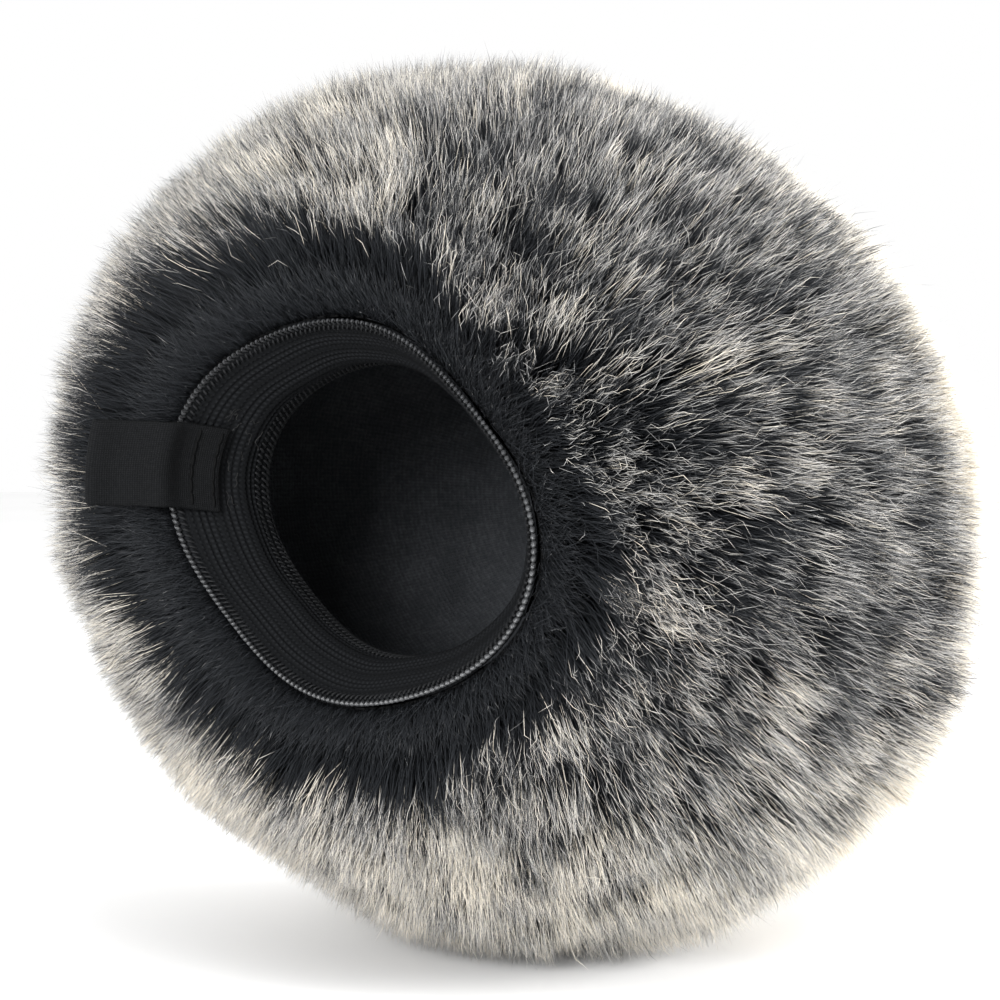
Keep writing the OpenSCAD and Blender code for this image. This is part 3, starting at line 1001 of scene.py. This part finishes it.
def add_ribbon(thread):
    """The pull tab: one folded strip, sewn to the band and bent over the rim."""
    line, at = tab_centre_line()
    bend_at = at[np.argmin(np.abs(line[:, 1] + PIVOT.y))]
    tangent = unit(np.gradient(line, axis=0))
    normal = np.stack([-tangent[:, 1], tangent[:, 0]], 1)
    spread = RIBBON_T * 0.55 + 0.28 * MM * smooth_step((at - at[-1] + 3.5 * MM) / (3.5 * MM))
    near, far = line + normal * spread[:, None], line - normal * spread[:, None]
    turn = np.linspace(math.pi / 2, -math.pi / 2, 12)[1:-1]
    round_end = np.cos(turn)[:, None] * tangent[-1] * 1.25 + np.sin(turn)[:, None] * normal[-1]
    fold = line[-1] + spread[-1] * round_end
    strip = np.concatenate([near, fold, far[::-1]])
    past = np.concatenate([at, np.full(len(fold), at[-1]), at[::-1]]) - bend_at
    length = run_length(strip)
    side = unit(np.gradient(strip, axis=0))
    side = np.stack([-side[:, 1], side[:, 0]], 1)

    # A section across the ribbon: flat, with slightly thicker woven edges
    half = TAB_W / 2 / (1 + RIM_SQUEEZE)
    across = np.linspace(-half, half, 29)
    thick = RIBBON_T / 2 * (1 + 0.25 * np.exp(-((half - np.abs(across)) / (0.5 * MM)) ** 2))
    thick = thick * np.sqrt(np.clip(1 - (np.abs(across) / (half + 0.05 * MM)) ** 24, 0.05, 1))
    section_w = np.concatenate([across, across[::-1]])
    section_n = np.concatenate([thick, -thick[::-1]])
    cup = 0.25 * MM * (across / half) ** 2
    cup = np.concatenate([cup, cup[::-1]])
    grid_w = section_w[None] + 0 * past[:, None]
    flap = smooth_step(past / (5 * MM))[:, None]
    radial = strip[:, 0][:, None] + side[:, 0][:, None] * section_n[None]
    ahead = strip[:, 1][:, None] + side[:, 1][:, None] * section_n[None] - cup[None] * flap
    points = tab_place(radial, ahead, grid_w, past[:, None] + 0 * grid_w)
    points = points + 0.12 * MM * waves(points, 7 * MM, 51)[..., None] * np.array([0.3, -1.0, 0.2])
    rows, cols = grid_w.shape
    faces, corner_rows, corner_cols = grid_faces(rows, cols, wrap_cols=True)
    uv = np.stack([length[corner_rows], section_w[corner_cols % cols]], 2)
    ends = np.array([np.arange(cols), (rows - 1) * cols + np.arange(cols)[::-1]])
    end_uv = np.stack([np.zeros(2 * cols), np.tile(section_w, 2)], 1)
    ribbon = make_object(
        "pull_ribbon", points.reshape(-1, 3), [faces, ends], ribbon_material(), "cloth",
        np.concatenate([uv.reshape(-1, 2), end_uv]),
    )
    merge_close(ribbon, 1e-7)
    bend_place = Vector(squeezed(PIVOT))
    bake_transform(ribbon)
    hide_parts("tab_root", "tab_flap")

    # Two rows of stitches across the root
    parts = []
    for row_y in (RIM_Y + 1.2 * MM, RIM_Y + ROOT_LEN - 1.2 * MM):
        for width in np.linspace(-half + 1.6 * MM, half - 1.6 * MM, 6):
            path_w = np.linspace(-0.75 * MM, 0.75 * MM, 5) + width
            row_r = np.interp(-row_y, line[:, 1], line[:, 0])
            lift = (1 - ((path_w - width) / (0.75 * MM)) ** 2) * 0.12 * MM
            radial = row_r - RIBBON_T * 1.1 - 0.1 * MM - lift
            place = tab_place(radial, np.full(5, -row_y), path_w, np.full(5, -5 * MM))
            parts.append(tube_template(place, THREAD_R * 0.8))
    points, faces = joined(parts)
    stitches = make_object("ribbon_stitches", points, faces, thread)
    on_shell(stitches, "thread", "tab_box_stitch")


# ---------- Lint ----------
LINING_LINT = 150
TAB_LINT = 14


def add_lint():
    """Loose pale fibres caught on the lining and by the ribbon's root."""
    draw = np.random.default_rng(61)
    lint = yarn_material("lint_fibre", grey(0.015, 0.0), grey(0.07, 0.02), 0.8)
    parts = []
    profile, _ = layer_profile(FUR_IN_R - LINING_OUT_R + LINING_T + 0.95 * MM, LINER_FRONT_Y, 200)
    for _ in range(LINING_LINT):
        i = int(draw.uniform(0.1, 0.75) * 199)
        turn = draw.uniform(0, TAU)
        centre = np.array([profile[i, 0] * math.cos(turn), profile[i, 1], profile[i, 0] * math.sin(turn)])
        parts.append(fibre(draw, centre, unit(centre - BALL_CENTRE), draw.uniform(1.2, 5) * MM))
    for _ in range(TAB_LINT):
        y = RIM_Y + draw.uniform(5, 12) * MM
        turn = TAB_ANGLE + draw.uniform(-0.35, 0.25)
        r = funnel_r(y) - 0.35 * MM
        radial = np.array([math.cos(turn), 0, math.sin(turn)])
        parts.append(fibre(draw, radial * r + np.array([0, y, 0]), radial, draw.uniform(1.5, 4) * MM))
    points, faces = joined(parts)
    made = make_object("lint", squeezed(points), faces, lint)
    return on_shell(made, "lining")


def fibre(draw, centre, normal, length):
    """One curved fibre that lies on a surface with that normal."""
    along = unit(np.cross(normal, draw.normal(size=3)))
    across = np.cross(normal, along)
    curl = draw.uniform(-1.2, 1.2)
    path = []
    for t in np.linspace(-0.5, 0.5, 7):
        sway = curl * t * t + 0.12 * math.sin(9 * t + 5 * curl)
        path.append(centre + along * t * length + across * sway * length - normal * 0.2 * MM * abs(t))
    return tube_template(path, draw.uniform(0.02, 0.035) * MM, 5)


# ---------- Stage, light and camera ----------
def add_floor():
    half = 3.0
    corners = np.array([(x * half, y * half, FLOOR_Z) for x, y in ((-1, -1), (1, -1), (1, 1), (-1, 1))])
    floor = make_object("floor", corners, np.array([[0, 1, 2, 3]]), floor_material())


def aimed(name, data, target, azimuth, elevation, distance):
    """A light or camera, that many degrees round from the front of a target and above it."""
    a, e = math.radians(azimuth), math.radians(elevation)
    away = Vector((math.sin(a) * math.cos(e), -math.cos(a) * math.cos(e), math.sin(e)))
    made = bpy.data.objects.new(name, data)
    bpy.context.scene.collection.objects.link(made)
    made.location = target + away * distance
    made.rotation_euler = (-away).to_track_quat("-Z", "Y").to_euler()
    return made


def add_light(name, azimuth, elevation, distance, size, power):
    data = bpy.data.lights.new(name, "AREA")
    data.size = size
    data.energy = power
    aimed(name, data, Vector((0, CENTRE_Y * 0.5, 0)), azimuth, elevation, distance)


def add_world(strength):
    world = bpy.data.worlds.new("studio")
    bpy.context.scene.world = world
    world.use_nodes = True
    world.node_tree.nodes["Background"].inputs["Color"].default_value = (1, 1, 1, 1)
    world.node_tree.nodes["Background"].inputs["Strength"].default_value = strength


def add_camera(azimuth, elevation, distance, lens):
    right = Vector((math.cos(math.radians(azimuth)), math.sin(math.radians(azimuth)), 0))
    target = Vector((0, CENTRE_Y, 0)) - right * 3.4 * MM + Vector((0, 0, 0.85 * MM))
    data = bpy.data.cameras.new("camera")
    data.sensor_width = 36
    data.lens = lens
    data.clip_end = 20
    bpy.context.scene.camera = aimed("camera", data, target, azimuth, elevation, distance)


add_camera(azimuth=31.3, elevation=1.3, distance=0.428, lens=89)
add_floor()
add_world(1.0)
add_light("key", azimuth=10, elevation=14, distance=1.3, size=0.5, power=20)
add_light("top", azimuth=50, elevation=60, distance=1.4, size=0.7, power=5)
add_light("side", azimuth=112, elevation=12, distance=1.3, size=0.6, power=27)
bpy.context.scene.view_settings.view_transform = "Standard"

black_thread = add_mouth()
add_ribbon(black_thread)
add_ball_layers()
seam_stitches("fur_seam_stitches", SEAM_R, black_thread, "fur_seam_thread")
seam_stitches("lining_seam_stitches", LINING_OUT_R - LINING_T - 1.1 * MM, black_thread, "lining_seam_thread")
add_lint()
